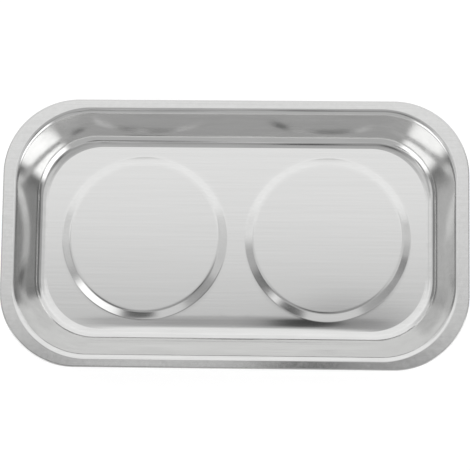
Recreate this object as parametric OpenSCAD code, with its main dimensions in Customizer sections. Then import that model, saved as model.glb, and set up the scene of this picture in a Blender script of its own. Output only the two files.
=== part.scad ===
// Magnetic parts tray: a pressed steel pan whose floor has two raised round seats.
// Under each seat a ferrite ring is clamped to a welded stud, and a rubber boot covers the ring.
// The origin is the middle of the footprint, on the surface that the boots stand on.
// X runs along the tray, Z points up, and sizes are in millimetres.

/* [Pan] */
// Depth of the pan, from the top of the rim down to the flat floor
pan_depth = 20; // [16:0.5:28]
// Thickness of the sheet
sheet = 0.7; // [0.5:0.05:1]
// Width of the flat rim at the two ends
end_rim = 5.9; // [4.5:0.1:12]
// Width of the flat rim along the two long sides
side_rim = 4.2; // [4:0.1:12]
// How far the end walls lean out between the floor and the rim
end_run = 15.4; // [12:0.1:24]
// How far the long walls lean out between the floor and the rim
side_run = 17.3; // [14:0.1:28]
// Radius of the bend from the floor into the end walls
end_floor_bend = 6.5; // [4:0.1:9]
// Radius of the bend from the floor into the long walls
side_floor_bend = 7; // [4:0.1:9]
// Radius of the bend from the end walls into the rim
end_rim_bend = 2; // [1.5:0.1:4]
// Radius of the bend from the long walls into the rim
side_rim_bend = 3.5; // [1.5:0.1:5]
// Width of the hem that is folded flat under the rim
hem_w = 3; // [2:0.1:3.8]
// Corner radius of the rim, seen from above
rim_corner = 39; // [30:1:50]
// Corner radius of the flat floor, seen from above
floor_corner = 29; // [20:0.5:38]

/* [Magnet seats] */
// Height of the raised seats above the floor
seat_rise = 1.5; // [0.8:0.1:2]
// Width of the sloping ring round each seat, with its bends
seat_slope = 5.4; // [5:0.1:10]
// Radius of the bend at the top of the sloping ring
seat_top_bend = 4.5; // [2:0.5:6]
// Radius of the bend at the foot of the sloping ring
seat_foot_bend = 2; // [1:0.5:2.5]
// Floor left between the two rings
ring_gap = 8.7; // [4:0.1:30]
// Floor left between a ring and the end of the flat floor
end_land = 7.45; // [2:0.05:30]
// Floor left between a ring and the side of the flat floor
side_land = 4.55; // [1:0.05:20]

/* [Magnets and boots] */
// Diameter of the ferrite ring
magnet_d = 70; // [60:1:90]
// Bore of the ferrite ring
magnet_bore = 32; // [26:1:40]
// Thickness of the ferrite ring
magnet_h = 10; // [9:0.5:16]
// Width of the bevel on the edges of the ferrite ring
magnet_bevel = 0.6; // [0.3:0.1:1]
// Gap between the ferrite ring and the boot round it
boot_fit = 0.1; // [0.05:0.05:0.3]
// Wall thickness of the boot
boot_wall = 2; // [1.6:0.1:4]
// Thickness of the boot under the ferrite ring
boot_floor = 2.5; // [2:0.1:5]
// Gap between the top of the boot and the seat above it
boot_top_gap = 0.3; // [0.2:0.1:1]
// Gap between the boot and the slope of the seat that it sits in
boot_seat_gap = 1.2; // [0.2:0.1:3]
// Radius of the boot's lower edge
boot_edge = 1.2; // [0.5:0.1:1.8]
// Width of the grip grooves in the underside of the boot
groove_w = 1.6; // [0.8:0.1:2.4]
// Depth of the grip grooves
groove_depth = 0.8; // [0.4:0.1:1.2]

/* [Fasteners] */
// Thread diameter of the stud
stud_d = 5; // [4:0.5:6]
// Diameter of the stud's welded flange
stud_flange_d = 9; // [8:0.5:14]
// Thickness of the stud's welded flange
stud_flange_h = 0.8; // [0.5:0.1:1.2]
// How far the stud stands out past the nut
stud_past = 0.8; // [0.4:0.1:1]
// Thickness of the clamp cup's steel
cup_t = 1.2; // [0.8:0.1:1.5]
// Width of the cup's flange that bears on the ferrite ring
cup_flange_w = 6; // [4:0.5:8]
// Gap between the cup and the bore of the ferrite ring
cup_fit = 0.4; // [0.2:0.1:0.8]
// Gap between the cup and the stud's flange, which lets the nut clamp the ring
cup_draw = 0.7; // [0.4:0.1:1]
// Gap between the cup's flange and the opening in the boot
cup_boot_gap = 2; // [1:0.5:4]
// Outside diameter of the flat washer
washer_d = 10; // [9:0.5:14]
// Thickness of the flat washer
washer_t = 1; // [0.8:0.1:1.2]
// Width of the spring washer's wire
spring_w = 1.8; // [1.4:0.1:2]
// Thickness of the spring washer
spring_t = 1.2; // [1:0.1:1.4]
// Width across the flats of the nut
nut_af = 8; // [7:0.5:12]
// Height of the nut
nut_h = 4.7; // [3.5:0.1:5]
// Gap between the stud's thread and the nut's
nut_fit = 0.05; // [0.02:0.01:0.1]
// Gap between the stud and the holes of the cup and washers
stud_clear = 0.2; // [0.1:0.05:0.4]

/* [Hidden] */
SIDES = ["left", "right"];
UNIT_PIECES = ["weld_stud", "ring_magnet", "clamp_cup", "flat_washer", "spring_washer", "hex_nut", "boot"];

$fn = 96;
// Steps along each bend of the walls and of the seats, round the hem and round each corner
BEND_STEPS = 6;
SEAT_STEPS = 4;
HEM_STEPS = 4;
CORNER_STEPS = 12;
// Number of grip grooves under each boot
GROOVES = 3;
// Width of the cut through the spring washer, and the slant of that cut
SPRING_CUT = 1;
SPRING_SLANT = 30;
// Slant of the bevels on the corners of the nut
NUT_BEVEL = 30;
// Overlap of cutting shapes past the faces that they cut
PAST = 1;

// Radii of the boot and of the seat that it fits into
boot_bore_r = magnet_d / 2 + boot_fit;
boot_r = boot_bore_r + boot_wall;
seat_r = boot_r + boot_seat_gap;
ring_r = seat_r + seat_slope;
// Flat floor of the pan, and the place of the two magnet units on it
unit_x = ring_r + ring_gap / 2;
floor_l = 2 * (unit_x + ring_r + end_land);
floor_w = 2 * (ring_r + side_land);
// Heights of the stack, from the boot's floor up to the pan
magnet_z = boot_floor;
seat_under_z = magnet_z + magnet_h;
floor_z = seat_under_z + sheet - seat_rise;
// Heights of the fasteners, from the stud's flange down to its end
cup_top_z = seat_under_z - stud_flange_h - cup_draw;
washer_z = cup_top_z - cup_t - washer_t;
spring_z = washer_z - spring_t;
nut_z = spring_z - nut_h;
stud_end_z = nut_z - stud_past;
// Radii of the clamp cup
cup_r = magnet_bore / 2 - cup_fit;
cup_flange_r = magnet_bore / 2 + cup_flange_w;
boot_opening_r = cup_flange_r + cup_boot_gap;

echo(overall = [
    floor_l + 2 * (end_run + end_rim),
    floor_w + 2 * (side_run + side_rim),
    floor_z + pan_depth
]);

function reversed(list) = [for (i = [len(list) - 1:-1:0]) list[i]];

// Slope of the straight stretch between two opposite bends, over a given run and rise.
// The radii of the two bends are given as their sum.
function tangent_slope(run, rise, bends) =
    atan2(rise - bends, run) + asin(bends / norm([run, rise - bends]));

// Cross-section of the sheet across one wall, as [distance out from the flat floor, height above it].
// It starts on top of the floor, goes up the inside, round the hem and back down the outside.
function wall_section(run, rim, floor_bend, rim_bend) =
    let (
        slope = tangent_slope(run, pan_depth, floor_bend + rim_bend),
        angles = [for (i = [0:BEND_STEPS]) slope * i / BEND_STEPS],
        hem_angles = [for (i = [0:HEM_STEPS]) 90 - 180 * i / HEM_STEPS],
        under_r = rim_bend - sheet,
        outer_r = floor_bend + sheet,
        hem_end = run + rim - hem_w
    )
    concat(
        [for (a = angles) [floor_bend * sin(a), floor_bend * (1 - cos(a))]],
        [for (a = reversed(angles)) [run - rim_bend * sin(a), pan_depth - rim_bend * (1 - cos(a))]],
        [for (a = hem_angles) [run + rim - sheet * (1 - cos(a)), pan_depth - sheet * (1 - sin(a))]],
        [[hem_end, pan_depth - 2 * sheet], [hem_end, pan_depth - sheet]],
        [for (a = angles) [run - under_r * sin(a), pan_depth - rim_bend + under_r * cos(a)]],
        [for (a = reversed(angles)) [outer_r * sin(a), floor_bend - outer_r * cos(a)]]
    );

// Corner radius of the pan at a distance out from the flat floor
function corner_radius(out) = floor_corner + (rim_corner - floor_corner) * min(out / side_run, 1);

// One closed line round the pan, through a section point of the end walls and one of the long walls
function pan_loop(end_point, side_point) =
    let (
        r = corner_radius(side_point[0]),
        x = floor_l / 2 + end_point[0] - r,
        y = floor_w / 2 + side_point[0] - r
    )
    [
        for (quarter = [0:3])
            for (i = [0:CORNER_STEPS])
                let (
                    step = quarter % 2 == 0 ? i : CORNER_STEPS - i,
                    turn = 90 * step / CORNER_STEPS,
                    sign_x = quarter == 0 || quarter == 3 ? 1 : -1,
                    sign_y = quarter < 2 ? 1 : -1
                )
                [
                    sign_x * (x + r * cos(turn)),
                    sign_y * (y + r * sin(turn)),
                    end_point[1] * pow(cos(turn), 2) + side_point[1] * pow(sin(turn), 2)
                ]
    ];

// Profile of the sloping ring, from the edge of the raised seat down to the floor.
// Two bends join a straight slope to the flats, in the way that the walls are drawn.
function seat_profile() =
    let (
        slope = tangent_slope(seat_slope, seat_rise, seat_top_bend + seat_foot_bend),
        angles = [for (i = [0:SEAT_STEPS]) slope * i / SEAT_STEPS]
    )
    concat(
        [for (a = angles) [seat_r + seat_top_bend * sin(a), seat_rise - seat_top_bend * (1 - cos(a))]],
        [for (a = reversed(angles)) [ring_r - seat_foot_bend * sin(a), seat_foot_bend * (1 - cos(a))]]
    );

// Solid under the raised seat's surface, down to the given depth below the floor
module seat_solid(depth) {
    rotate_extrude()
        polygon(concat([[0, seat_rise]], seat_profile(), [[ring_r, -depth], [0, -depth]]));
}

// The pan before its seats are pressed up
module plain_pan() {
    ends = wall_section(end_run, end_rim, end_floor_bend, end_rim_bend);
    sides = wall_section(side_run, side_rim, side_floor_bend, side_rim_bend);
    count = 4 * (CORNER_STEPS + 1);
    last = len(ends) - 1;
    polyhedron(
        points = [for (j = [0:last]) each pan_loop(ends[j], sides[j])],
        faces = concat(
            [[for (i = [count - 1:-1:0]) i]],
            [
                for (j = [0:last - 1])
                    for (i = [0:count - 1])
                        let (here = j * count + i, next = j * count + (i + 1) % count)
                        each [[here, next, next + count], [here, next + count, here + count]]
            ],
            [[for (i = [0:count - 1]) last * count + i]]
        ),
        convexity = 6
    );
}

module tray_pan() {
    color("gainsboro")
        translate([0, 0, floor_z])
            difference() {
                union() {
                    plain_pan();
                    for (x = [-unit_x, unit_x])
                        translate([x, 0, 0])
                            seat_solid(sheet / 2);
                }
                for (x = [-unit_x, unit_x])
                    translate([x, 0, -sheet])
                        seat_solid(PAST);
            }
}

module weld_stud() {
    tip = stud_d / 10;
    color("silver")
        rotate_extrude()
            polygon([
                [0, seat_under_z],
                [stud_flange_d / 2, seat_under_z],
                [stud_flange_d / 2, seat_under_z - stud_flange_h],
                [stud_d / 2, seat_under_z - stud_flange_h],
                [stud_d / 2, stud_end_z + tip],
                [stud_d / 2 - tip, stud_end_z],
                [0, stud_end_z]
            ]);
}

module ring_magnet() {
    color("dimgray")
        translate([0, 0, magnet_z])
            rotate_extrude()
                polygon([
                    [magnet_bore / 2, magnet_bevel],
                    [magnet_bore / 2 + magnet_bevel, 0],
                    [magnet_d / 2 - magnet_bevel, 0],
                    [magnet_d / 2, magnet_bevel],
                    [magnet_d / 2, magnet_h - magnet_bevel],
                    [magnet_d / 2 - magnet_bevel, magnet_h],
                    [magnet_bore / 2 + magnet_bevel, magnet_h],
                    [magnet_bore / 2, magnet_h - magnet_bevel]
                ]);
}

module clamp_cup() {
    hole_r = stud_d / 2 + stud_clear;
    color("lightgray")
        rotate_extrude()
            polygon([
                [hole_r, cup_top_z],
                [cup_r - cup_t, cup_top_z],
                [cup_r, cup_top_z - cup_t],
                [cup_r, magnet_z],
                [cup_flange_r, magnet_z],
                [cup_flange_r, magnet_z - cup_t],
                [cup_r - cup_t, magnet_z - cup_t],
                [cup_r - cup_t, cup_top_z - cup_t],
                [hole_r, cup_top_z - cup_t]
            ]);
}

module flat_washer() {
    color("silver")
        translate([0, 0, washer_z])
            difference() {
                cylinder(d = washer_d, h = washer_t);
                translate([0, 0, -PAST])
                    cylinder(r = stud_d / 2 + stud_clear, h = washer_t + 2 * PAST);
            }
}

module spring_washer() {
    bore_r = stud_d / 2 + stud_clear;
    color("gray")
        translate([0, 0, spring_z])
            difference() {
                cylinder(r = bore_r + spring_w, h = spring_t);
                translate([0, 0, -PAST])
                    cylinder(r = bore_r, h = spring_t + 2 * PAST);
                translate([bore_r + spring_w / 2, 0, spring_t / 2])
                    rotate([SPRING_SLANT, 0, 0])
                        cube([2 * spring_w, SPRING_CUT, 4 * spring_t], center = true);
            }
}

module hex_nut() {
    corner_r = nut_af / 2 / cos(30);
    cone_h = corner_r * tan(NUT_BEVEL);
    bevel_h = (corner_r - nut_af / 2) * tan(NUT_BEVEL);
    color("silver")
        translate([0, 0, nut_z])
            difference() {
                intersection() {
                    cylinder(r = corner_r, h = nut_h, $fn = 6);
                    translate([0, 0, bevel_h - cone_h])
                        cylinder(r1 = 0, r2 = corner_r + nut_h / tan(NUT_BEVEL), h = cone_h + nut_h);
                    translate([0, 0, -bevel_h])
                        cylinder(r1 = corner_r + nut_h / tan(NUT_BEVEL), r2 = 0, h = cone_h + nut_h);
                }
                translate([0, 0, -PAST])
                    cylinder(r = stud_d / 2 + nut_fit, h = nut_h + 2 * PAST);
            }
}

module boot() {
    top_z = seat_under_z - boot_top_gap;
    lip = boot_wall / 4;
    land = (boot_r - boot_edge - boot_opening_r - GROOVES * groove_w) / (GROOVES + 1);
    color([0.13, 0.13, 0.14])
        difference() {
            rotate_extrude()
                polygon(concat(
                    [[boot_opening_r, 0]],
                    [
                        for (a = [0:15:90])
                            [boot_r - boot_edge * (1 - sin(a)), boot_edge * (1 - cos(a))]
                    ],
                    [
                        [boot_r, top_z - lip],
                        [boot_r - lip, top_z],
                        [boot_bore_r + lip, top_z],
                        [boot_bore_r, top_z - lip],
                        [boot_bore_r, boot_floor],
                        [boot_opening_r, boot_floor]
                    ]
                ));
            for (i = [0:GROOVES - 1])
                rotate_extrude()
                    translate([boot_opening_r + land + i * (land + groove_w), -PAST])
                        square([groove_w, groove_depth + PAST]);
        }
}

tray_pan();
for (side = SIDES)
    translate([side == "left" ? -unit_x : unit_x, 0, 0]) {
        weld_stud();
        ring_magnet();
        clamp_cup();
        flat_washer();
        spring_washer();
        hex_nut();
        boot();
    }
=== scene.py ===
# %% [markdown]
# # A magnetic parts tray
#
# The tray is one pressed steel sheet with two ring magnets bolted under its floor, each in a rubber
# boot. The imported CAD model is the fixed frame: it says where every piece sits and how large it is.
# This lesson builds smooth surfaces and finishes around that frame, then a camera and studio light.

# %% Load the frame
import math

import bmesh
import bpy
import numpy as np
from mathutils import Matrix, Vector


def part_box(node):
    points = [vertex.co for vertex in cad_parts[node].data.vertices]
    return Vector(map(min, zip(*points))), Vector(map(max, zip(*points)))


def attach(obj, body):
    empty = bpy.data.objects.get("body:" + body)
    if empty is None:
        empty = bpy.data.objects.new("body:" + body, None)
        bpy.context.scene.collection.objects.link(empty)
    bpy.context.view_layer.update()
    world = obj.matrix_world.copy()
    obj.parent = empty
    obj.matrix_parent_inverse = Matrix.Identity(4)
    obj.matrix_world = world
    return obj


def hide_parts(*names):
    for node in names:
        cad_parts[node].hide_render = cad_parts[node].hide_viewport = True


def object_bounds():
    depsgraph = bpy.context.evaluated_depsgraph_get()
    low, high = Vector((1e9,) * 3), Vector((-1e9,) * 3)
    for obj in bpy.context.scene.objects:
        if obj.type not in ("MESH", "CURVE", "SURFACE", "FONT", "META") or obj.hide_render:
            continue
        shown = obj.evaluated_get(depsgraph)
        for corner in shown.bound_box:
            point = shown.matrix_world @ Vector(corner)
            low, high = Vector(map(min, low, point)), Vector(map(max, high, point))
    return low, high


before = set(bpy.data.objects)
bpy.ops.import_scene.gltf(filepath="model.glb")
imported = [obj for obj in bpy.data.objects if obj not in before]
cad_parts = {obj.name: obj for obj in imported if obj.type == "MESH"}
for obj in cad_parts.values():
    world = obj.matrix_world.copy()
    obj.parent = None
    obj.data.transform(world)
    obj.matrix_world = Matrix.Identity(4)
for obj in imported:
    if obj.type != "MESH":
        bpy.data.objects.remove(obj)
cad_low, cad_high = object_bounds()
scene = bpy.context.scene
scene.view_settings.view_transform = "Standard"
MM = 0.001
print("CAD box in mm:", [round(side / MM, 1) for side in cad_high - cad_low])

# %% [markdown]
# The photograph is taken from almost straight above, a little in front and a little to the right.
# The camera's place was found by fitting the outline of the rim, so it is written here as measured
# from the middle of the rim's top. The lens is long, and there is no shift and no depth of field.

# %% Set up the camera
PICTURE_PIXELS = 470
FOCAL_PIXELS = 1945.2
SENSOR_MM = 36.0
CAMERA_ROLL = math.radians(0.842)

rim_middle = Vector((0, 0, cad_high.z))
camera_at = rim_middle + Vector((40.41, -138.08, 989.74)) * MM
camera_aim = rim_middle + Vector((0.29, -0.92, 0.0)) * MM


def aimed(at, aim, roll):
    """Matrix of a camera at one point that looks at another, rolled about its own line of sight."""
    back = (at - aim).normalized()
    right = Vector((0, 1, 0)).cross(back).normalized()
    up = back.cross(right)
    rolled_right = right * math.cos(roll) + up * math.sin(roll)
    rolled_up = up * math.cos(roll) - right * math.sin(roll)
    matrix = Matrix((rolled_right, rolled_up, back)).transposed().to_4x4()
    matrix.translation = at
    return matrix


camera_data = bpy.data.cameras.new("camera")
camera_data.sensor_width = SENSOR_MM
camera_data.lens = FOCAL_PIXELS / PICTURE_PIXELS * SENSOR_MM
camera = bpy.data.objects.new("camera", camera_data)
camera.matrix_world = aimed(camera_at, camera_aim, CAMERA_ROLL)
scene.collection.objects.link(camera)
scene.camera = camera
print("lens in mm:", round(camera_data.lens, 1))

# %% [markdown]
# Every piece here is a skin over one or more grids of points. A small helper turns the grids into
# quads, merges the edges they share and the poles where a row shrinks to a point, and turns all the
# faces outwards. Edges sharper than a chosen angle stay crisp and the rest is shaded smooth.

# %% Turn grids of points into a piece
MERGE = 1e-6


def grid_faces(rows, columns):
    """Quads of a grid: each cell takes its own corner, the next in the row and the two above them."""
    corner = (np.arange(rows - 1)[:, None] * columns + np.arange(columns - 1)).ravel()
    return np.stack([corner, corner + 1, corner + columns + 1, corner + columns], axis=1)


def skin(name, grids, crisp=math.radians(40), marks=None):
    """One closed mesh object from grids of points, each an array of rows by columns by xyz. Marks, if
    given, hold one number for each row of each grid, which finishes read as the attribute "zone"."""
    firsts = np.cumsum([0] + [grid[..., 0].size for grid in grids])
    points = np.concatenate([grid.reshape(-1, 3) for grid in grids])
    quads = np.concatenate([grid_faces(*grid.shape[:2]) + first for grid, first in zip(grids, firsts)])
    mesh = bpy.data.meshes.new(name)
    mesh.from_pydata(points.tolist(), [], quads.tolist())
    if marks is not None:
        zone = np.concatenate([np.repeat(mark, grid.shape[1]) for mark, grid in zip(marks, grids)])
        mesh.attributes.new("zone", "FLOAT", "POINT").data.foreach_set("value", zone)
    work = bmesh.new()
    work.from_mesh(mesh)
    bmesh.ops.remove_doubles(work, verts=work.verts, dist=MERGE)
    bmesh.ops.recalc_face_normals(work, faces=work.faces)
    work.to_mesh(mesh)
    work.free()
    mesh.shade_smooth()
    mesh.set_sharp_from_angle(angle=crisp)
    piece = bpy.data.objects.new(name, mesh)
    scene.collection.objects.link(piece)
    triangles = sum(len(face.vertices) - 2 for face in mesh.polygons)
    print(name, "has", triangles, "triangles")
    return piece


# %% [markdown]
# The pan is drawn from a flat sheet in one press stroke. Its look is all reflections, and these show
# every facet, so the pan is computed again as a fine smooth grid. Two wall sections, one for the ends
# and one for the long sides, are each a floor bend, a straight wall, a rim bend, a flat rim and a
# turned-under hem, and then the same way back along the underside. The sizes that the frame holds
# come from it, and the bends repeat the sizes of the CAD source.

# %% Sizes of the pan
SHEET = 0.7 * MM
HEM_WIDTH = 3.0 * MM
END = {"rim": 5.9 * MM, "run": 15.4 * MM, "floor_bend": 6.5 * MM, "rim_bend": 2.0 * MM}
SIDE = {"rim": 4.2 * MM, "run": 17.3 * MM, "floor_bend": 7.0 * MM, "rim_bend": 3.5 * MM}
FLOOR_CORNER = 29.0 * MM
RIM_CORNER = 39.0 * MM

pan_low, pan_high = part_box("tray_pan")
FLOOR_Z = pan_low.z + SHEET
DEPTH = pan_high.z - FLOOR_Z
FLOOR_HALF_X = pan_high.x - END["run"] - END["rim"]
FLOOR_HALF_Y = pan_high.y - SIDE["run"] - SIDE["rim"]
print("floor in mm:", round(2 * FLOOR_HALF_X / MM, 1), "by", round(2 * FLOOR_HALF_Y / MM, 1))

# %% [markdown]
# A press bends sheet round the edges of its tools, so a wall is two arcs with a straight line that
# touches both. The line's slope follows from the two radii and the distance between their middles. A
# few extra points near the ends of each straight part keep its shading flat.

# %% Work out the wall sections
SUPPORTS = np.array([0.03, 0.12, 0.36, 0.64, 0.88, 0.97])
FLOOR_BEND_STEPS, RIM_BEND_STEPS, HEM_STEPS = 18, 10, 10
UNDER_FLOOR_STEPS, UNDER_RIM_STEPS = 10, 6


def tangent_slope(run, rise, bends):
    """Slope of the straight line that touches a bend at its foot and one at its top: the angle of the
    line between the bends' middles, plus the angle that their radii take off its length."""
    return math.atan2(rise, run) + math.asin(bends / math.hypot(run, rise))


def bend(middle, radius, start, stop, steps):
    """An arc round a middle point: across = radius sin a, up = - radius cos a. A negative radius turns
    the arc over, for a bend that closes the top of a slope."""
    angle = np.linspace(start, stop, steps + 1)
    return middle[0] + radius * np.sin(angle), middle[1] - radius * np.cos(angle)


def between(first, last, shares):
    """Points on the straight line from one point to another, at the given shares of its length."""
    return [a + (b - a) * shares for a, b in zip(first, last)]


def joined(*parts):
    """One line of points from several parts, each a pair of arrays."""
    return np.concatenate([part[0] for part in parts]), np.concatenate([part[1] for part in parts])


def ends_of(first, last):
    """The last point of one part and the first point of the next."""
    return (first[0][-1], first[1][-1]), (last[0][0], last[1][0])


def wall_section(run, rim, floor_bend, rim_bend):
    """Outward distance and height above the floor along one wall, from the edge of the floor out to
    the hem and back under it: an arc, a straight wall, an arc, the flat rim and the half round of the
    hem, and then the underside."""
    foot_middle = 0.0, floor_bend
    top_middle = run, DEPTH - rim_bend
    slope = tangent_slope(top_middle[0] - foot_middle[0], top_middle[1] - foot_middle[1],
                          floor_bend + rim_bend)
    foot = bend(foot_middle, floor_bend, 0, slope, FLOOR_BEND_STEPS)
    top = bend(top_middle, -rim_bend, slope, 0, RIM_BEND_STEPS)
    wall = between(*ends_of(foot, top), SUPPORTS)
    hem_middle = run + rim - SHEET
    rim_flat = between((run, DEPTH), (hem_middle, DEPTH), SUPPORTS)
    turn = np.linspace(math.pi / 2, -math.pi / 2, HEM_STEPS + 1)
    hem = hem_middle + SHEET * np.cos(turn), DEPTH - SHEET + SHEET * np.sin(turn)
    hem_edge = np.full(2, run + rim - HEM_WIDTH), DEPTH - SHEET * np.array([2.0, 1.0])
    under_top = bend(top_middle, SHEET - rim_bend, 0, slope, UNDER_RIM_STEPS)
    under_foot = bend(foot_middle, floor_bend + SHEET, slope, 0, UNDER_FLOOR_STEPS)
    parts = foot, wall, top, rim_flat, hem, hem_edge, under_top, under_foot
    return joined(*parts), [len(part[0]) for part in parts]


(end_out, end_up), part_sizes = wall_section(**END)
(side_out, side_up), part_sizes = wall_section(**SIDE)
print("points in a wall section:", sum(part_sizes))

# %% [markdown]
# The section is carried round half of the rounded outline, and the other half is its mirror image.
# Each place on the outline has a share of the straight parts and a direction that points outwards.
# The corner radius grows from the floor to the rim, and a corner blends the two sections' heights.
# Along the near edge the floor has sunk into a hollow of less than half a millimetre. A bright sheet
# shows even that, as a dark streak.

# %% Carry the section round the outline
SIDE_STEPS, CORNER_STEPS, END_STEPS, MIDDLE_STEPS = 80, 44, 36, 80
HOLLOW_DEPTH, HOLLOW_INSET = 0.32 * MM, 1.5 * MM
HOLLOW_IN, HOLLOW_OUT = 5.6 * MM, 5.0 * MM
HOLLOW_REACH = 0.9


def half_outline():
    """Shares of the straight lengths and outward directions along the right half of the outline, from
    the middle of the near side, round both corners, to the middle of the far side."""
    along_side = np.linspace(0, 1, SIDE_STEPS + 1)
    along_end = np.linspace(-1, 1, END_STEPS + 1)
    turn = np.linspace(0, math.pi / 2, CORNER_STEPS + 1)[1:-1]
    share_x = np.concatenate([along_side, np.ones(2 * turn.size + along_end.size), along_side[::-1]])
    share_y = np.concatenate([-np.ones(along_side.size + turn.size), along_end,
                              np.ones(along_side.size + turn.size)])
    heading = np.concatenate([np.full(along_side.size, -math.pi / 2), turn - math.pi / 2,
                              np.zeros(along_end.size), turn, np.full(along_side.size, math.pi / 2)])
    return share_x, share_y, np.cos(heading), np.sin(heading)


def hollow(place):
    """Depth of the hollow along the near edge at a place: its full depth times the squared cosine of
    the way from its lowest line, which differs inwards and outwards, and of the way along the edge."""
    inwards = FLOOR_HALF_Y - HOLLOW_INSET + place[..., 1]
    across = np.clip(np.where(inwards > 0, inwards / HOLLOW_IN, -inwards / HOLLOW_OUT), 0, 1)
    along = np.clip(np.abs(place[..., 0]) / (HOLLOW_REACH * FLOOR_HALF_X), 0, 1)
    return HOLLOW_DEPTH * np.cos(math.pi / 2 * across)**2 * np.cos(math.pi / 2 * along**2)**2


def pan_loops(x_out, x_up, y_out, y_up):
    """Grid of points, one row for each place on the section: the straight share of the half size less
    the corner radius, plus the radius along the outward direction. The height is the end's height
    times cos squared plus the side's height times sin squared of that direction."""
    share_x, share_y, toward_x, toward_y = half_outline()
    growth = (RIM_CORNER - FLOOR_CORNER) / SIDE["run"]
    radius = FLOOR_CORNER + growth * np.minimum(y_out, SIDE["run"])[:, None]
    x = share_x * (FLOOR_HALF_X + x_out[:, None] - radius) + radius * toward_x
    y = share_y * (FLOOR_HALF_Y + y_out[:, None] - radius) + radius * toward_y
    z = FLOOR_Z + x_up[:, None] * toward_x**2 + y_up[:, None] * toward_y**2
    return np.stack([x, y, z - hollow(np.stack([x, y], axis=-1))], axis=-1)


wall_grid = pan_loops(end_out, end_up, side_out, side_up)
print("wall grid:", wall_grid.shape[:2])

# %% [markdown]
# Over each magnet the floor is raised into a round seat. The seat is a surface of revolution, and the
# floor round it runs out to the outline. Both are one grid: its columns are rays from the middle of
# the seat to the points of the outline, so that ring, floor and wall share their points.

# %% Raise the magnet seats in the floor
SEAT_RISE = 1.5 * MM
SEAT_SLOPE = 5.4 * MM
SEAT_TOP_BEND = 4.5 * MM
SEAT_FOOT_BEND = 2.0 * MM
SEAT_CLEARANCE = 1.2 * MM
SEAT_SHARES = np.array([0.0, 0.3, 0.6, 0.9, 0.985])

magnet_low, magnet_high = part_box("right_ring_magnet")
boot_low, boot_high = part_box("right_boot")
UNIT_X = (magnet_low.x + magnet_high.x) / 2
SEAT_RADIUS = (boot_high.x - boot_low.x) / 2 + SEAT_CLEARANCE


def seat_profile(top_steps, foot_steps, slope_shares):
    """Radius and height of a seat from its middle outwards: flat, a bend down, a straight cone and a
    bend back to the floor. The cone is worked out as a slope that rises inwards."""
    top_middle = SEAT_SLOPE, SEAT_RISE - SEAT_TOP_BEND
    cone = tangent_slope(SEAT_SLOPE, top_middle[1] - SEAT_FOOT_BEND, SEAT_TOP_BEND + SEAT_FOOT_BEND)
    top = bend(top_middle, -SEAT_TOP_BEND, 0, cone, top_steps)
    foot = bend((0, SEAT_FOOT_BEND), SEAT_FOOT_BEND, cone, 0, foot_steps)
    slope = between(*ends_of(top, foot), slope_shares)
    inwards, up = joined(top, slope, foot)
    flat = SEAT_RADIUS * SEAT_SHARES
    return joined((flat, np.full(flat.size, SEAT_RISE)), (SEAT_RADIUS + SEAT_SLOPE - inwards, up))


def floor_grid(outline, profile, lift, land_shares):
    """Grid from the middle of a seat out to the outline of half the floor. A row of the seat is a
    circle of its radius on the rays to the outline's points. A row of the land is a share of the way
    from the foot of the seat to the outline. The hollow is taken off all heights."""
    half_y = outline[-1, 1]
    middle_y = np.linspace(half_y, -half_y, MIDDLE_STEPS + 1)[1:]
    middle = np.stack([np.zeros(MIDDLE_STEPS), middle_y], axis=1)
    edge = np.concatenate([outline[:, :2], middle])
    ray = edge - (UNIT_X, 0)
    ray /= np.linalg.norm(ray, axis=1, keepdims=True)
    radius, up = profile
    circles = np.array((UNIT_X, 0)) + radius[:, None, None] * ray
    land = circles[-1] + land_shares[:, None, None] * (edge - circles[-1])
    flat = np.concatenate([circles, land])
    z = (np.concatenate([up, np.zeros(land_shares.size)]) + FLOOR_Z + lift)[:, None] - hollow(flat)
    return np.concatenate([flat, z[..., None]], axis=-1)


LAND_ROWS = 16
LAND_SHARES = np.sin(np.linspace(0, math.pi / 2, LAND_ROWS + 1)[1:])
top_grid = floor_grid(wall_grid[0], seat_profile(10, 7, np.array([0.08, 0.5, 0.92])), 0.0, LAND_SHARES)
under_grid = floor_grid(wall_grid[-1], seat_profile(6, 4, np.array([0.5])), -SHEET, LAND_SHARES[1::2])
FLOOR_ZONE, WALL_ZONE, RIM_ZONE, HEM_ZONE = 0.0, 1.0, 2.0, 3.0
wall_zones = np.repeat([WALL_ZONE] * 3 + [RIM_ZONE, HEM_ZONE] + [RIM_ZONE] * 3, part_sizes)
wall_zones[0] = FLOOR_ZONE
marks = [np.full(len(top_grid), FLOOR_ZONE), wall_zones, np.full(len(under_grid), RIM_ZONE)]
right_half = [top_grid, wall_grid, under_grid]
left_half = [grid * (-1, 1, 1) for grid in right_half]
pan = skin("pressed_pan", right_half + left_half, marks=marks + marks)
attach(pan, "tray")
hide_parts("tray_pan")
print("seats at x =", round(UNIT_X / MM, 2), "mm, radius", round(SEAT_RADIUS / MM, 1), "mm")

# %% [markdown]
# Finishes are written as expressions. A value wraps one socket of a node, and sums or products of
# values add Math nodes. Any other node is added by one method: its settings first, then the values or
# links of its sockets.

# %% A small language for finishes
MICRON = 1e-6


class Value:
    """One output of a node in a finish. Arithmetic on it adds Math nodes."""

    def __init__(self, finish, socket):
        self.finish = finish
        self.socket = socket

    def __add__(self, other):
        return self.finish.math("ADD", self, other)

    def __sub__(self, other):
        return self.finish.math("SUBTRACT", self, other)

    def __rsub__(self, other):
        return self.finish.math("SUBTRACT", other, self)

    def __mul__(self, other):
        return self.finish.math("MULTIPLY", self, other)

    __radd__ = __add__
    __rmul__ = __mul__


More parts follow.
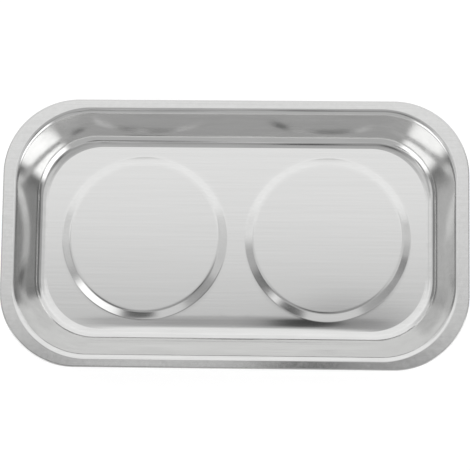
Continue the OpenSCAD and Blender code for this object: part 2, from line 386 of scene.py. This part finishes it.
class Finish:
    """The node tree of a material or of the world."""

    def __init__(self, owner):
        owner.use_nodes = True
        self.owner = owner
        self.tree = owner.node_tree
        self.tree.nodes.clear()

    def node(self, kind, settings=(), sockets=(), output=0):
        """Adds a node: its settings are set first, then each socket takes a value or a link."""
        made = self.tree.nodes.new(kind)
        for name, setting in dict(settings).items():
            setattr(made, name, setting)
        for key, given in dict(sockets).items():
            if isinstance(given, Value):
                self.tree.links.new(given.socket, made.inputs[key])
            else:
                made.inputs[key].default_value = given
        return Value(self, made.outputs[output]) if made.outputs else made

    def math(self, operation, first, second):
        """One Math node on two values or numbers."""
        return self.node("ShaderNodeMath", {"operation": operation}, {0: first, 1: second})

    def place(self, scale):
        """Object coordinates, stretched by a scale in turns per millimetre along x, y and z."""
        spot = self.node("ShaderNodeTexCoord", output="Object")
        factor = [turns / MM for turns in scale]
        return self.node("ShaderNodeVectorMath", {"operation": "MULTIPLY"}, {0: spot, 1: factor})

    def noise(self, scale, detail=2.0, roughness=0.5):
        """Smooth noise from 0 to 1 with the given number of cells per millimetre."""
        return self.node("ShaderNodeTexNoise", {"normalize": True},
                         {"Vector": self.place(scale), "Scale": 1.0, "Detail": detail,
                          "Roughness": roughness})

    def ramp(self, value, low, high, to_low=0.0, to_high=1.0):
        """Smooth step from one number to another while the value goes from low to high."""
        return self.node("ShaderNodeMapRange", {"interpolation_type": "SMOOTHSTEP"},
                         {"Value": value, "From Min": low, "From Max": high,
                          "To Min": to_low, "To Max": to_high})

    def blend(self, share, first, second):
        """A colour between two colours."""
        return self.node("ShaderNodeMix", {"data_type": "RGBA"},
                         {"Factor": share, "A": first, "B": second}, output="Result")

    def height(self):
        """Height of the shaded point above the origin of its object."""
        spot = self.node("ShaderNodeTexCoord", output="Object")
        return self.node("ShaderNodeSeparateXYZ", {}, {0: spot}, output="Z")

    def bump(self, microns):
        """Normals of a fine relief whose height is given in thousandths of a millimetre."""
        return self.node("ShaderNodeBump", {}, {"Height": microns, "Distance": MICRON})

    def coat(self, sockets):
        """Ends a material in one surface shader with the given sockets and returns the material."""
        shader = self.node("ShaderNodeBsdfPrincipled", {}, sockets)
        self.node("ShaderNodeOutputMaterial", {}, {"Surface": shader})
        return self.owner


print("finishes are ready")

# %% [markdown]
# The sheet arrives with a fine brushed finish along its length, which the floor still shows. The press
# has stretched and burnished the walls into soft mirrors with faint patches and waves, and the flat rim
# is satin with a mottle. The hem at the outer edge is painted darker. This is a painted shade standing in
# for the dark line that its turned round mirrors. One material holds them all, and the zone marked on the
# mesh says which one shows.

# %% Finish the pan in pressed steel
FLOOR_ROUGHNESS, WALL_ROUGHNESS, RIM_ROUGHNESS = 0.12, 0.13, 0.20
DARK_STEEL, LIGHT_STEEL = (0.66, 0.66, 0.655, 1), (0.84, 0.84, 0.835, 1)

steel = Finish(bpy.data.materials.new("pressed_steel"))
zone = steel.node("ShaderNodeAttribute", {"attribute_name": "zone"}, output="Fac")
wall = steel.ramp(zone, FLOOR_ZONE, WALL_ZONE)
rim = steel.ramp(zone, WALL_ZONE, RIM_ZONE)
# This mask of the hem carries the painted shade along the outer edge.
hem = steel.ramp(zone, RIM_ZONE, HEM_ZONE)
brush = steel.noise((0.015, 1.4, 1.4), detail=4.0, roughness=0.65)
mottle = steel.noise((0.35, 0.35, 0.35), detail=4.0, roughness=0.6)
waves = steel.noise((0.012, 0.10, 0.10), detail=2.0)
patches = steel.noise((0.05, 0.25, 0.25), detail=3.0)
flat_roughness = FLOOR_ROUGHNESS + 0.06 * (brush - 0.5)
wall_roughness = WALL_ROUGHNESS + 0.10 * (brush - 0.5)
rim_roughness = RIM_ROUGHNESS + 0.12 * (mottle - 0.5)
roughness = (1 - wall) * flat_roughness + wall * (1 - rim) * wall_roughness + rim * rim_roughness
tone = 0.5 + 0.7 * (brush - 0.5) + wall * (1 - rim) * 0.6 * (patches - 0.5)
# Taking the hem's mask off the tone paints the outer edge darker, a painted shade for the dark reflection in
# its round.
tone = tone + rim * 0.9 * (mottle - 0.5) - rim * 0.1 - hem
relief = 0.4 * brush + rim * 0.6 * mottle + wall * (1 - rim) * 40.0 * waves
pan_steel = steel.coat({
    "Base Color": steel.blend(tone, DARK_STEEL, LIGHT_STEEL), "Metallic": 1.0, "Roughness": roughness,
    "Normal": steel.bump(relief)})
pan.data.materials.append(pan_steel)
print("pan finished in", pan_steel.name)

# %% [markdown]
# Under each seat hangs a magnet unit of round pieces, which on the real tray are moulded, sintered,
# pressed or turned. Each is a profile of radius and height that is carried round the unit's upright
# axis. A real edge is never sharp, so each corner of a profile is drawn as a short curve, and that
# curve is what catches the light. The outer sizes come from the frame.

# %% Turn profiles into round pieces
ROUND_STEPS = 120
UNITS = {"left": -UNIT_X, "right": UNIT_X}


def reach(node):
    """Radius, bottom and top of a round node of the frame."""
    low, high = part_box(node)
    return (high.x - low.x) / 2, low.z, high.z


def rounded(corners, steps=4):
    """A closed profile from corners, each a radius, a height and the size of its rounding. Near a
    corner c the line is the curve (1-s)^2 a + 2 s (1-s) c + s^2 b, where a and b lie at the rounding's
    distance from c, towards the corners before and after it."""
    corners = np.array(corners)
    point, size = corners[:, None, :2], corners[:, None, 2:]
    before, after = (np.roll(point, side, axis=0) - point for side in (1, -1))
    a, b = (point + size * way / np.linalg.norm(way, axis=-1, keepdims=True) for way in (before, after))
    s = np.linspace(0, 1, steps + 1)[None, :, None]
    line = ((1 - s)**2 * a + 2 * s * (1 - s) * point + s**2 * b).reshape(-1, 2)
    return np.concatenate([line, line[:1]])


def turned(x, radius, height):
    """Grid of a profile turned about the upright axis at x: x + r cos a, r sin a and the height. The
    radius and the height may also change with the angle a."""
    turn = np.linspace(0, 2 * math.pi, ROUND_STEPS + 1)
    return np.stack(np.broadcast_arrays(x + radius * np.cos(turn), radius * np.sin(turn), height), axis=-1)


def fit(side, name, node, body, grids, finish, crisp=math.radians(40)):
    """Makes one piece of a magnet unit in place of a node of the frame, with its body and finish."""
    piece = skin(f"{side}_{name}", grids, crisp)
    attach(piece, body)
    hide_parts(f"{side}_{node}")
    piece.data.materials.append(finish)


print("magnet units at x in mm:", {side: round(x / MM, 2) for side, x in UNITS.items()})

# %% [markdown]
# The boot is moulded in black rubber: a wall round the magnet, a floor with an opening, and three grip
# grooves. Rubber from a mould is matt with a fine grain. Use leaves pale dust in patches, and the foot
# is scuffed smooth where it stands.

# %% Mould the rubber boots
BOOT_WALL = 2.0 * MM
BOOT_FLOOR = magnet_low.z
BOOT_OPENING = 24.0 * MM
BOOT_EDGE, BOOT_LIP, RUBBER_EDGE = 1.6 * MM, 0.7 * MM, 0.2 * MM
GROOVES, GROOVE_WIDTH, GROOVE_DEPTH = 3, 1.6 * MM, 0.8 * MM
FOOT_EDGE, WORN_HEIGHT = 1.2 * MM, 0.5 * MM

boot_radius, boot_bottom, boot_top = reach("right_boot")
land = (boot_radius - FOOT_EDGE - BOOT_OPENING - GROOVES * GROOVE_WIDTH) / (GROOVES + 1)
groove_starts = BOOT_OPENING + land + np.arange(GROOVES) * (land + GROOVE_WIDTH)
groove_steps = (0, 0), (0, GROOVE_DEPTH), (GROOVE_WIDTH, GROOVE_DEPTH), (GROOVE_WIDTH, 0)
groove_corners = [(start + across, boot_bottom + up, RUBBER_EDGE) for start in groove_starts
                  for across, up in groove_steps]
boot_line = rounded([(BOOT_OPENING, boot_bottom, RUBBER_EDGE), *groove_corners,
                     (boot_radius, boot_bottom, BOOT_EDGE), (boot_radius, boot_top, BOOT_LIP),
                     (boot_radius - BOOT_WALL, boot_top, BOOT_LIP),
                     (boot_radius - BOOT_WALL, BOOT_FLOOR, RUBBER_EDGE),
                     (BOOT_OPENING, BOOT_FLOOR, RUBBER_EDGE)])

rubber = Finish(bpy.data.materials.new("boot_rubber"))
grain = rubber.noise((5.0, 5.0, 5.0), detail=3.0, roughness=0.6)
dust = rubber.ramp(rubber.noise((0.12, 0.12, 0.3), detail=4.0), 0.48, 0.75)
foot = rubber.ramp(rubber.height(), 0.0, WORN_HEIGHT, 1.0, 0.0)
worn = foot * rubber.ramp(rubber.noise((0.5, 0.5, 0.5), detail=3.0), 0.4, 0.7)
rubber_colour = rubber.blend(0.5 * dust + 0.3 * worn, (0.018, 0.018, 0.019, 1), (0.085, 0.082, 0.078, 1))
boot_rubber = rubber.coat({
    "Base Color": rubber_colour, "Roughness": 0.60 + 0.20 * dust - 0.15 * worn + 0.10 * (grain - 0.5),
    "Specular IOR Level": 0.4, "Normal": rubber.bump(9.0 * grain * (1 - 0.6 * worn))})
for side, x in UNITS.items():
    fit(side, "rubber_boot", "boot", f"{side}_boot", [turned(x, boot_line[:, :1], boot_line[:, 1:])],
        boot_rubber)

# %% [markdown]
# The magnet is a pressed and sintered ferrite ring. Its flat faces are ground, so they are smoother and
# a little lighter than the fired sides, and the brittle edges are bevelled and lose small chips.

# %% Sinter the ferrite rings
MAGNET_BORE = 16.0 * MM
BEVEL, FERRITE_EDGE, GROUND_DEPTH = 0.6 * MM, 0.12 * MM, 0.1 * MM

magnet_radius, magnet_bottom, magnet_top = reach("right_ring_magnet")
magnet_line = rounded([(radius + across * BEVEL, height + up * BEVEL, FERRITE_EDGE)
                       for radius, height, across, up in (
                           (MAGNET_BORE, magnet_bottom, 0, 1), (MAGNET_BORE, magnet_bottom, 1, 0),
                           (magnet_radius, magnet_bottom, -1, 0), (magnet_radius, magnet_bottom, 0, 1),
                           (magnet_radius, magnet_top, 0, -1), (magnet_radius, magnet_top, -1, 0),
                           (MAGNET_BORE, magnet_top, 1, 0), (MAGNET_BORE, magnet_top, 0, -1))])

ferrite = Finish(bpy.data.materials.new("ferrite"))
speckle = ferrite.noise((4.0, 4.0, 4.0), detail=4.0, roughness=0.7)
grinding = ferrite.noise((0.15, 6.0, 1.0), detail=2.0)
height = ferrite.height()
ground = (ferrite.ramp(height, magnet_bottom, magnet_bottom + GROUND_DEPTH, 1.0, 0.0)
          + ferrite.ramp(height, magnet_top - GROUND_DEPTH, magnet_top))
ferrite_colour = ferrite.blend(0.6 * ferrite.ramp(speckle, 0.45, 0.75) + 0.3 * ground,
                               (0.045, 0.045, 0.048, 1), (0.12, 0.12, 0.125, 1))
ferrite_relief = 8.0 * speckle * (1 - 0.8 * ground) + 1.5 * ground * grinding
ring_ferrite = ferrite.coat({
    "Base Color": ferrite_colour, "Metallic": 0.3,
    "Roughness": 0.58 - 0.22 * ground + 0.15 * (speckle - 0.5), "Normal": ferrite.bump(ferrite_relief)})
for side, x in UNITS.items():
    fit(side, "ferrite_ring", "ring_magnet", "tray", [turned(x, magnet_line[:, :1], magnet_line[:, 1:])],
        ring_ferrite)

# %% [markdown]
# The cup, the flat washer, the nut and the stud are mild steel with bright zinc plating. Zinc is a soft
# grey metal with a faint yellow and blue cast that comes and goes, and it dulls in small blotches.

# %% Plate the fasteners in zinc
zinc = Finish(bpy.data.materials.new("zinc_plate"))
cast = zinc.noise((0.25, 0.25, 0.25), detail=3.0)
blotch = zinc.ramp(zinc.noise((0.9, 0.9, 0.9), detail=4.0, roughness=0.6), 0.45, 0.75)
fine = zinc.noise((9.0, 9.0, 9.0), detail=2.0)
bright = zinc.blend(zinc.ramp(cast, 0.35, 0.65), (0.62, 0.65, 0.72, 1), (0.74, 0.71, 0.60, 1))
zinc_colour = zinc.blend(0.5 * blotch, bright, (0.42, 0.42, 0.43, 1))
zinc_plate = zinc.coat({
    "Base Color": zinc_colour, "Metallic": 1.0,
    "Roughness": 0.26 + 0.20 * blotch + 0.08 * (fine - 0.5), "Normal": zinc.bump(1.2 * fine + 2.0 * blotch)})
print("fasteners finished in", zinc_plate.name)

# %% [markdown]
# The cup is drawn from sheet, so both its bends are round, wide outside and tight inside.
# The washer is stamped, which leaves one edge rounder than the other.

# %% Press the clamp cups and flat washers
CUP_SHEET = 1.2 * MM
CUP_RADIUS = 15.6 * MM
HOLE_RADIUS = 2.7 * MM
CUP_BEND, CUP_INNER_BEND, FLANGE_BEND, CUT_EDGE = 1.5 * MM, 0.6 * MM, 0.3 * MM, 0.15 * MM

flange_radius, cup_bottom, cup_top = reach("right_clamp_cup")
flange_top = cup_bottom + CUP_SHEET
cup_inside = CUP_RADIUS - CUP_SHEET
cup_line = rounded([(HOLE_RADIUS, cup_top, CUT_EDGE), (CUP_RADIUS, cup_top, CUP_BEND),
                    (CUP_RADIUS, flange_top, FLANGE_BEND), (flange_radius, flange_top, CUT_EDGE),
                    (flange_radius, cup_bottom, CUT_EDGE), (cup_inside, cup_bottom, CUP_BEND),
                    (cup_inside, cup_top - CUP_SHEET, CUP_INNER_BEND),
                    (HOLE_RADIUS, cup_top - CUP_SHEET, CUT_EDGE)], steps=6)
washer_radius, washer_bottom, washer_top = reach("right_flat_washer")
washer_line = rounded([(HOLE_RADIUS, washer_bottom, CUT_EDGE), (washer_radius, washer_bottom, 2 * CUT_EDGE),
                       (washer_radius, washer_top, CUT_EDGE), (HOLE_RADIUS, washer_top, CUT_EDGE)])
for side, x in UNITS.items():
    fit(side, "pressed_cup", "clamp_cup", "tray", [turned(x, cup_line[:, :1], cup_line[:, 1:])],
        zinc_plate)
    fit(side, "round_washer", "flat_washer", "tray", [turned(x, washer_line[:, :1], washer_line[:, 1:])],
        zinc_plate)

# %% [markdown]
# The nut is a hexagon whose corners are cut by a cone at each end, so its radius and the height of the
# cone's edge both change with the angle. The stud carries a real screw thread: its radius falls from
# crest to root and back once for each pitch of height, and the pattern climbs one pitch in each turn.

# %% Turn the nuts and studs
NUT_SLANT = math.tan(math.radians(30))
NUT_BORE = 2.55 * MM
BORE_BEVEL = 0.35 * MM
THREAD_RADIUS, THREAD_DEPTH, THREAD_PITCH = 2.5 * MM, 0.45 * MM, 0.8 * MM
ROWS_PER_PITCH = 10
FLANGE_HEIGHT, TIP_BEVEL = 0.8 * MM, 0.5 * MM

turn = np.linspace(0, 2 * math.pi, ROUND_STEPS + 1)
corner_radius, nut_bottom, nut_top = reach("right_hex_nut")
flat_radius = corner_radius * math.cos(math.pi / 6)
hexagon = flat_radius / np.cos(turn % (math.pi / 3) - math.pi / 6)
cut = (hexagon - flat_radius) * NUT_SLANT
bore, face = np.full(turn.size, NUT_BORE), np.full(turn.size, flat_radius)
nut_radius = np.stack([bore, bore + BORE_BEVEL, face, hexagon, hexagon, face, bore + BORE_BEVEL, bore, bore])
nut_height = np.stack([nut_bottom + BORE_BEVEL + 0 * turn, nut_bottom + 0 * turn, nut_bottom + 0 * turn,
                       nut_bottom + cut, nut_top - cut, nut_top + 0 * turn, nut_top + 0 * turn,
                       nut_top - BORE_BEVEL + 0 * turn, nut_bottom + BORE_BEVEL + 0 * turn])

stud_flange, stud_end, stud_top = reach("right_weld_stud")
rod_length = stud_top - FLANGE_HEIGHT - stud_end
rod_rows = round(rod_length / THREAD_PITCH * ROWS_PER_PITCH)
rod_height = stud_end + np.linspace(0, rod_length, rod_rows)[:, None]
phase = (rod_height / THREAD_PITCH - turn / (2 * math.pi)) % 1.0
# The flanks take half of the pitch, the root 0.15 of it and the crest the rest.
groove = np.clip(1.3 - np.abs(phase - 0.5) * 4.0, 0.0, 1.0)
crest = np.minimum(THREAD_RADIUS, THREAD_RADIUS - TIP_BEVEL + (rod_height - stud_end))
rod = np.minimum(crest, THREAD_RADIUS - THREAD_DEPTH * groove)
collar = np.array([[stud_flange, stud_top - FLANGE_HEIGHT], [stud_flange, stud_top], [0.0, stud_top]])
stud_radius = np.concatenate([np.zeros((1, turn.size)), rod, np.broadcast_to(collar[:, :1], (3, turn.size))])
stud_height = np.concatenate([rod_height[:1], rod_height, collar[:, 1:]])
for side, x in UNITS.items():
    fit(side, "chamfered_nut", "hex_nut", "tray", [turned(x, nut_radius, nut_height)],
        zinc_plate, crisp=math.radians(25))
    fit(side, "threaded_stud", "weld_stud", "tray", [turned(x, stud_radius, stud_height)],
        zinc_plate)
print("thread turns on a stud:", round(rod_length / THREAD_PITCH, 1))

# %% [markdown]
# The spring washer is a cut ring of square wire, hardened and blackened, which the nut has pressed flat.
# Its ends are cut on a slant. The black finish is rubbed away to steel on the highest spots.

# %% Cut the spring washers
CUT_HALF, CUT_SLANT = 0.5 * MM, math.radians(30)

spring_radius, spring_bottom, spring_top = reach("right_spring_washer")
spring_line = rounded([(HOLE_RADIUS, spring_bottom, CUT_EDGE), (spring_radius, spring_bottom, CUT_EDGE),
                       (spring_radius, spring_top, CUT_EDGE), (HOLE_RADIUS, spring_top, CUT_EDGE)])
wire_radius, wire_height = spring_line[:, :1], spring_line[:, 1:]
lean = (wire_height - (spring_bottom + spring_top) / 2) * math.tan(CUT_SLANT)
first = np.arcsin((CUT_HALF / math.cos(CUT_SLANT) - lean) / wire_radius)
last = 2 * math.pi - np.arcsin((CUT_HALF / math.cos(CUT_SLANT) + lean) / wire_radius)
wire_turn = first + np.linspace(0, 1, ROUND_STEPS + 1) * (last - first)

blued = Finish(bpy.data.materials.new("spring_steel"))
rub = blued.ramp(blued.noise((1.5, 1.5, 1.5), detail=4.0, roughness=0.65), 0.5, 0.72)
blued_colour = blued.blend(0.7 * rub, (0.055, 0.057, 0.062, 1), (0.42, 0.41, 0.40, 1))
blued_steel = blued.coat({
    "Base Color": blued_colour, "Metallic": 1.0, "Roughness": 0.45 - 0.15 * rub,
    "Normal": blued.bump(3.0 * rub)})
for side, x in UNITS.items():
    wire = np.stack(np.broadcast_arrays(x + wire_radius * np.cos(wire_turn), wire_radius * np.sin(wire_turn),
                                        wire_height), axis=-1)
    caps = [np.stack([wire[:, end], np.broadcast_to(wire[:-1, end].mean(axis=0), wire[:, end].shape)])
            for end in (0, -1)]
    fit(side, "split_washer", "spring_washer", "tray", [wire, *caps], blued_steel)

# %% [markdown]
# Polished steel shows its surroundings more than itself, so the light is a small studio. The world is
# painted: a pale room that is brighter towards the back wall, with a lamp there and dimmer corners, dim
# gaps at both sides, and two bright softboxes at the front corners, the right one under a dark flag,
# with a plain front between them. A panel is a patch of the sky with soft edges, so the reflections
# have soft edges too.

# %% Light the studio
# Panels: azimuth of the middle, half width, lower and upper edge, softness in degrees, and brightness.
# Azimuth 0 is along x, 90 is along y. A later panel stands in front of an earlier one.
FRONT_LIGHT, BACK_LIGHT = 0.48, 0.99
FRONT_EDGE, BACK_EDGE = 0.04, 0.17
PANELS = {
    "back_lamp": (90, 56, 39, 50, 3, 1.05),
    "back_left": (146, 20, -20, 34, 6, 0.73),
    "back_right": (40, 18, -20, 34, 6, 0.89),
    "left_top": (182, 30, 60, 82, 5, 0.72),
    "left_side": (172, 18, -20, 47, 5, 0.76),
    "left_gap": (174, 22, -20, 28, 5, 0.26),
    "right_top": (5, 28, 50, 84, 5, 0.72),
    "right_side": (4, 20, -20, 47, 4, 0.43),
    "right_gap": (4, 24, -20, 25, 4, 0.17),
    "front_left_softbox": (221, 19, 5, 56, 6, 1.55),
    "front_right_softbox": (328, 22, 5, 47, 6, 1.70),
    "right_flag": (331, 28, 46, 53, 3, 0.24),
    "front": (271, 28, -20, 50, 4, 0.53),
    "front_top": (276, 26, 50, 64, 4, 0.76),
}


def heading(azimuth):
    """Unit vector along the floor at an azimuth from x, in degrees."""
    turn = math.radians(azimuth)
    return math.cos(turn), math.sin(turn), 0.0


def edge(middle, softness, curve):
    """The two ends of a soft edge: a curve of the angles just before and after its middle, in degrees."""
    return [curve(math.radians(middle + side * softness)) for side in (-1, 1)]


world = bpy.data.worlds.new("studio")
scene.world = world
studio = Finish(world)
sky = studio.node("ShaderNodeTexCoord", output="Generated")
across = studio.node("ShaderNodeVectorMath", {"operation": "MULTIPLY"}, {0: sky, 1: (1, 1, 0)})
across = studio.node("ShaderNodeVectorMath", {"operation": "NORMALIZE"}, {0: across})
depth = studio.node("ShaderNodeSeparateXYZ", {}, {0: sky}, output="Y")
rise = studio.node("ShaderNodeSeparateXYZ", {}, {0: sky}, output="Z")
glow = studio.ramp(depth, FRONT_EDGE, BACK_EDGE, FRONT_LIGHT, BACK_LIGHT)
for azimuth, half_width, low, high, softness, brightness in PANELS.values():
    facing = studio.node("ShaderNodeVectorMath", {"operation": "DOT_PRODUCT"},
                         {0: across, 1: heading(azimuth)}, output="Value")
    near_edge, far_edge = edge(half_width, softness, math.cos)
    panel = studio.ramp(facing, far_edge, near_edge)
    panel = panel * studio.ramp(rise, *edge(low, softness, math.sin))
    panel = panel * studio.ramp(rise, *edge(high, softness, math.sin), 1.0, 0.0)
    glow = glow + panel * (brightness - glow)
light = studio.node("ShaderNodeBackground", {}, {"Color": glow, "Strength": 1.0})
studio.node("ShaderNodeOutputWorld", {}, {"Surface": light})
print("panels of the studio:", ", ".join(PANELS))

# %% [markdown]
# The camera is held by hand over the tray, and steel shows that too: a dark lens and camera, and the
# shoulder, sleeve and arm behind them, stand out against the bright room. Soft dark cards do the same
# here. Only reflections see them.

# %% Hang the dark cards
# Cards: middle and two half axes in millimetres from the middle of the rim, core share and brightness.
CARDS = {
    "camera_card": ((64, -80, 240), (92, 0, 0), (0, 84, 0), 0.5, 0.34),
    "lens_card": ((37, -60, 235), (31, 0, 0), (0, 31, 0), 0.45, 0.05),
    "shoulder_card": ((-40, -98, 245), (64, 0, 0), (0, 64, 0), 0.45, 0.40),
    "sleeve_card": ((-88, -215, 260), (72, 0, 0), (0, 74, -20), 0.45, 0.12),
    "arm_card": ((-152, -96, 260), (74, 0, 0), (0, 74, 0), 0.4, 0.16),
}
CARD_STEPS = 48


def card(name, middle, across, along, core, glow):
    """A flat oval card: its middle plus cos a times one half axis plus sin a times the other. It is dark
    within the core, a share of its half width, and thins out to nothing at its edge."""
    turn = np.linspace(0, 2 * math.pi, CARD_STEPS + 1)[:, None]
    middle, across, along = (np.array(part) * MM for part in (middle, across, along))
    middle = middle + rim_middle
    edge = middle + np.cos(turn) * across + np.sin(turn) * along
    piece = skin(name, [np.stack([np.broadcast_to(middle, edge.shape), edge])])
    cloth = Finish(bpy.data.materials.new(name))
    place = cloth.node("ShaderNodeTexCoord", output="Object")
    away = cloth.node("ShaderNodeVectorMath", {"operation": "DISTANCE"}, {0: place, 1: middle},
                      output="Value")
    width = float(np.linalg.norm(across))
    solid = cloth.ramp(away, core * width, width, 1.0, 0.0)
    clear = cloth.node("ShaderNodeBsdfTransparent")
    dark = cloth.node("ShaderNodeEmission", {}, {"Strength": glow})
    shade = cloth.node("ShaderNodeMixShader", {}, {"Fac": solid, 1: clear, 2: dark})
    cloth.node("ShaderNodeOutputMaterial", {}, {"Surface": shade})
    piece.data.materials.append(cloth.owner)
    piece.visible_camera = False


for name, measures in CARDS.items():
    card(name, *measures)

# %% [markdown]
# The tray stands on a plain white sheet, wide enough to fill any picture taken from above. The sheet
# adds its own white for the camera, and for what the steel and the nuts mirror, so that it stays white
# while the tray still casts a soft shadow. From below it is clear, so that the underside can be seen.

# %% Lay the white sheet
PAPER_HALF = 20.0
PAPER_BASE, PAPER_WHITE = 0.45, 0.72
PAPER_GAP = 0.02 * MM

corners = np.array([[[-1, -1], [1, -1]], [[-1, 1], [1, 1]]]) * PAPER_HALF
level = np.full((2, 2, 1), cad_low.z - PAPER_GAP)
sheet = skin("white_sheet", [np.concatenate([corners, level], axis=-1)])
if sheet.data.polygons[0].normal.z < 0:
    sheet.data.flip_normals()
paper = Finish(bpy.data.materials.new("white_paper"))
seen = [paper.node("ShaderNodeLightPath", output=f"Is {kind} Ray")
        for kind in ("Camera", "Glossy", "Transmission")]
paper_grain = paper.noise((0.4, 0.4, 0.4), detail=3.0)
lit = paper.math("MAXIMUM", paper.math("MAXIMUM", seen[0], seen[1]), seen[2])
paper_shader = paper.node("ShaderNodeBsdfPrincipled", {}, {
    "Base Color": PAPER_BASE + 0.02 * (paper_grain - 0.5), "Roughness": 0.9,
    "Emission Color": PAPER_WHITE * lit, "Emission Strength": 1.0})
behind = paper.node("ShaderNodeNewGeometry", output="Backfacing")
clear = paper.node("ShaderNodeBsdfTransparent")
paper_side = paper.node("ShaderNodeMixShader", {}, {"Fac": behind, 1: paper_shader, 2: clear})
paper.node("ShaderNodeOutputMaterial", {}, {"Surface": paper_side})
sheet.data.materials.append(paper.owner)
print("white sheet in metres:", 2 * PAPER_HALF)
